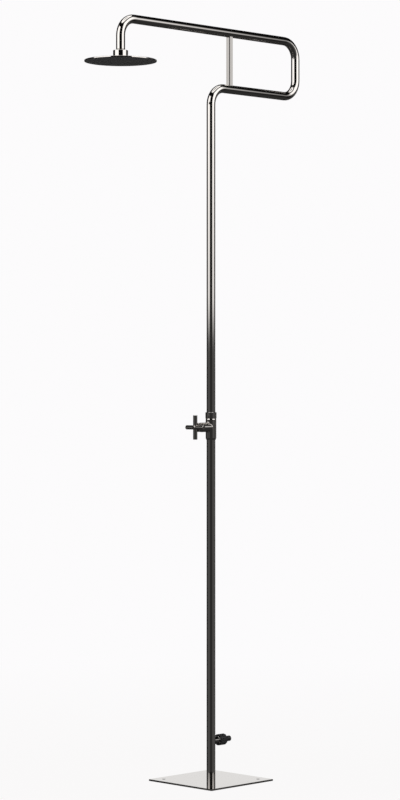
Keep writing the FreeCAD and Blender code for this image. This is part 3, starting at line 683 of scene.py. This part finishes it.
def nozzle_mat():
    """Silicone mat with a bored, round-lipped nozzle through each hole of the face plate."""
    values = bpy.context.scene.post_nozzles
    low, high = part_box("nozzle_mat")
    plate_low, plate_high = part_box("face_plate")
    centre_y = (low.y + high.y) / 2
    mat_radius = (high.x - low.x) / 2
    edge_sides, nozzle_sides = 96, 18
    sheet = [level_ring(0.0, centre_y, z, mat_radius, edge_sides) for z in (plate_high.z, high.z)]
    points, faces = joined(sheet, closed=False)
    outline = nozzle_outline(values, plate_low.z, plate_high.z)
    for index in range(values.rings):
        circle = values.first_ring + index * values.ring_pitch
        for around in angles(values.per_ring * (index + 1)):
            x, y = circle * math.cos(around), centre_y + circle * math.sin(around)
            rings = [level_ring(x, y, height, radius, nozzle_sides) for radius, height in outline]
            more_points, more_faces = joined(rings, offset=len(points), closed=False)
            points += more_points
            faces += more_faces
    made = piece("nozzle_mat_bored", "shower_head", "grey_silicone", moulded_silicone, points, faces)
    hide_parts("nozzle_mat")


# ---------------------------------------------------------------- stage
WHITE = (1.0, 1.0, 1.0)

# Light wall: height in metres and the share of its full light there.
WALL_FADE = [(1.36, 0.06), (1.45, 0.13), (1.58, 0.38), (1.71, 0.63), (2.05, 0.71), (2.80, 0.90),
             (3.40, 1.0)]


def on_stage(name, points, faces, block):
    mesh = bpy.data.meshes.new(name)
    mesh.from_pydata(points, [], faces)
    mesh.materials.append(block)
    made = bpy.data.objects.new(name, mesh)
    bpy.context.scene.collection.objects.link(made)
    return made


def curved_strip(name, distance, first, last, low, high, block, steps=24):
    """Upright strip round the post between two directions, seen only in reflections."""
    points, faces = [], []
    for k in range(steps + 1):
        angle = first + (last - first) * k / steps
        x, y = distance * math.cos(angle), distance * math.sin(angle)
        points += [(x, y, low), (x, y, high)]
    for k in range(steps):
        faces.append((2 * k, 2 * k + 2, 2 * k + 3, 2 * k + 1))
    made = on_stage(name, points, faces, block)
    made.visible_camera = False


def disc(name, radius, height, block, sides=96):
    return on_stage(name, level_ring(0.0, 0.0, height, radius, sides), [tuple(range(sides))], block)


def wall_finish(name, values, towards, side, far_edge, softness):
    """Soft box cloth that is dark below, fades up to its full light and has a soft rear edge."""
    finish = Finish(name)
    x, y, z = finish.split(finish.add("ShaderNodeNewGeometry", output="Position"))
    first, last = WALL_FADE[0][0], WALL_FADE[-1][0]
    stops = [((height - first) / (last - first), level) for height, level in WALL_FADE]
    level = finish.add("ShaderNodeValToRGB", {"stops": stops}, {0: (z - first) / (last - first)})
    round_post = (y.math("ARCTAN2", y, x) - towards) * side
    lit = finish.clip((far_edge - round_post) / softness + 0.5)
    return finish.close(finish.glow(level, lit * lit * (3 - 2 * lit) * values.wall_light))


def top_finish(values):
    """Overhead cloth that is dimmer in its middle, so that level steel shows grey from above."""
    finish = Finish("top_cloth")
    outward = finish.clip(finish.reach() / values.top_middle_radius)
    level = values.top_middle + outward * outward * (1 - values.top_middle)
    return finish.close(finish.glow(WHITE, level * values.top_light))


def painted_glow_floor_finish(values):
    """Pale floor paper that glows as painted light: a painted shade darkens it round the post, and it
    brightens into the background away from the post.
    """
    finish = Finish("floor_paper_painted_glow")
    near_reach, far_reach, shadow_share = 0.5, 3.0, 0.012
    far = finish.clip((finish.reach() - near_reach) / (far_reach - near_reach))
    # Painted light and shade: the floor glows, darker near the post and lighter towards the background.
    lit = finish.glow(finish.mixed(far, values.paper_near_painted_shade, values.paper_far))
    matt = finish.add("ShaderNodeBsdfDiffuse", None, {"Color": (0.9, 0.9, 0.9)})
    return finish.close(finish.blend((1 - far) * shadow_share, lit, matt))


def surroundings(values, towards):
    """Pale paper to the camera, and a dark room to everything the steel mirrors."""
    world = bpy.data.worlds.new("studio")
    bpy.context.scene.world = world
    finish = Finish("studio", world)
    rise, glow_top = 8, 2.2
    seen = finish.add("ShaderNodeLightPath", output="Is Camera Ray")
    x, y, z = finish.split(finish.add("ShaderNodeTexCoord", output="Generated"))
    aside = abs(y.math("ARCTAN2", y, x) - (towards + values.corner_turn))
    corner = finish.clip((values.corner_width - aside) / values.corner_fade) \
        * finish.clip(glow_top - abs(z) * rise)
    level = values.room_low + finish.clip(z * rise) * (values.room_high - values.room_low) \
        + corner * values.room_corner
    paper = finish.add("ShaderNodeBackground", None, {"Color": values.paper_far})
    room = finish.add("ShaderNodeBackground", None, {"Color": WHITE, "Strength": level})
    finish.close(finish.blend(seen, room, paper), "ShaderNodeOutputWorld")


def stand_camera(values):
    """Level camera at the photograph's place, with its frame shifted a little down."""
    lens = bpy.data.cameras.new("camera")
    lens.lens = values.focal_length
    lens.sensor_width = 36.0
    lens.shift_y = values.frame_rise
    lens.clip_end = 100.0
    camera = bpy.data.objects.new("camera", lens)
    camera.location = values.camera_place
    camera.rotation_euler = (math.pi / 2, 0.0, values.camera_turn)
    bpy.context.scene.collection.objects.link(camera)
    bpy.context.scene.camera = camera


def light_walls(values, towards):
    """A curved wall of light on each side, and the low strip behind the post."""
    walls = [("left", -1, values.left_near_edge, values.left_far_edge, values.left_softness),
             ("right", 1, values.right_near_edge, values.right_far_edge, values.right_softness)]
    for name, side, near, far, softness in walls:
        cloth = wall_finish("light_cloth_" + name, values, towards, side, far, softness)
        curved_strip("light_wall_" + name, values.wall_distance, towards + side * near,
                     towards + side * (far + softness), values.wall_foot, values.wall_top, cloth)
    strip = Finish("backdrop_cloth")
    strip_cloth = strip.close(strip.glow(WHITE, values.backdrop_light))
    behind, half = towards + math.pi, values.backdrop_half_width
    curved_strip("backdrop_strip", values.wall_distance, behind - half, behind + half,
                 values.backdrop_low, values.backdrop_high, strip_cloth)


def studio():
    """Camera, room, lights and floor."""
    values = bpy.context.scene.post_stage
    bpy.context.scene.view_settings.view_transform = "Standard"
    floor_drop = 0.5 * MM
    towards = math.atan2(values.camera_place[1], values.camera_place[0])
    stand_camera(values)
    surroundings(values, towards)
    light_walls(values, towards)
    top = disc("top_light", values.top_radius, values.top_height, top_finish(values))
    top.visible_camera = False
    floor = disc("floor", values.floor_radius, -floor_drop, painted_glow_floor_finish(values))
    floor.visible_glossy = False


# ---------------------------------------------------------------- operators
class SHOWER_OT_stage(Operator):
    """Camera, pale floor and soft studio light"""
    bl_idname = "shower.stage"
    bl_label = "Stage"

    def execute(self, context):
        studio()
        return {"FINISHED"}


class SHOWER_OT_plate(Operator):
    """Base plate and the foot that holds the post"""
    bl_idname = "shower.plate"
    bl_label = "Plate and foot"

    def execute(self, context):
        dress(mirror_steel, "base_plate")
        dress(turned_steel, "foot_spigot", "foot_grub_screw")
        dress(moulded_rubber, "foot_seal")
        return {"FINISHED"}


class SHOWER_OT_tubes(Operator):
    """Post, bent tube, brace and their welds"""
    bl_idname = "shower.tubes"
    bl_label = "Tubes and welds"

    def execute(self, context):
        dress(mirror_steel, "lower_tube", "upper_tube", "brace")
        weld_fillets()
        return {"FINISHED"}


class SHOWER_OT_inlet(Operator):
    """Threaded stub and black hose adapter"""
    bl_idname = "shower.inlet"
    bl_label = "Hose inlet"

    def execute(self, context):
        threaded_stub()
        ribbed_nut()
        dress(moulded_plastic, "adapter_nose")
        dress(moulded_rubber, "adapter_washer", "adapter_o_ring")
        return {"FINISHED"}


class SHOWER_OT_tap(Operator):
    """Tap body, union nut and the headwork inside"""
    bl_idname = "shower.tap"
    bl_label = "Tap"

    def execute(self, context):
        dress(mirror_steel, "valve_body", "union_nut")
        dress(moulded_rubber, "union_seal", "base_seal", "stem_seals")
        dress(lapped_ceramic, "fixed_disc", "turning_disc")
        dress(machined_brass, "headwork_housing", "valve_stem")
        dress(oiled_spring_steel, "stem_clip")
        return {"FINISHED"}


class SHOWER_OT_handle(Operator):
    """Cross handle, its hub, screw and cap"""
    bl_idname = "shower.handle"
    bl_label = "Handle"

    def execute(self, context):
        dress(mirror_steel, "handle_hub", "handle_cross", "handle_cap")
        dress(turned_steel, "handle_screw")
        return {"FINISHED"}


class SHOWER_OT_joint(Operator):
    """Ball joint between the drop tube and the head"""
    bl_idname = "shower.joint"
    bl_label = "Ball joint"

    def execute(self, context):
        dress(mirror_steel, "ball_nut")
        dress(turned_steel, "arm_nipple")
        dress(machined_brass, "swivel_ball")
        dress(moulded_rubber, "nipple_washer")
        dress(moulded_nylon, "seat_ring")
        return {"FINISHED"}


class SHOWER_OT_head(Operator):
    """Head shell, face plate, nozzles and flow regulator"""
    bl_idname = "shower.head"
    bl_label = "Shower head"

    def execute(self, context):
        dress(mirror_steel, "head_shell", "face_plate")
        dress(moulded_nylon, "flow_regulator")
        nozzle_mat()
        return {"FINISHED"}


STEPS = [SHOWER_OT_stage, SHOWER_OT_plate, SHOWER_OT_tubes, SHOWER_OT_inlet, SHOWER_OT_tap,
         SHOWER_OT_handle, SHOWER_OT_joint, SHOWER_OT_head]
VALUES = {"post_stage": StageValues, "post_finish": FinishValues, "post_inlet": InletValues,
          "post_nozzles": NozzleValues, "post_welds": WeldValues}


class SHOWER_PT_panel(Panel):
    """Lists the steps and the values they use"""
    bl_label = "Shower post"
    bl_idname = "SHOWER_PT_panel"
    bl_space_type = "VIEW_3D"
    bl_region_type = "UI"
    bl_category = "Shower post"

    def draw(self, context):
        for step in STEPS:
            self.layout.operator(step.bl_idname)
        for name, kind in VALUES.items():
            box = self.layout.box()
            group = getattr(context.scene, name)
            for field in kind.__annotations__:
                box.prop(group, field)


def register():
    for kind in [*VALUES.values(), *STEPS, SHOWER_PT_panel]:
        bpy.utils.register_class(kind)
    for name, kind in VALUES.items():
        setattr(bpy.types.Scene, name, PointerProperty(type=kind))


def unregister():
    for name in VALUES:
        delattr(bpy.types.Scene, name)
    for kind in reversed([*VALUES.values(), *STEPS, SHOWER_PT_panel]):
        bpy.utils.unregister_class(kind)


def main():
    register()
    for step in STEPS:
        family, name = step.bl_idname.split(".")
        getattr(getattr(bpy.ops, family), name)()


if __name__ == "__main__":
    main()
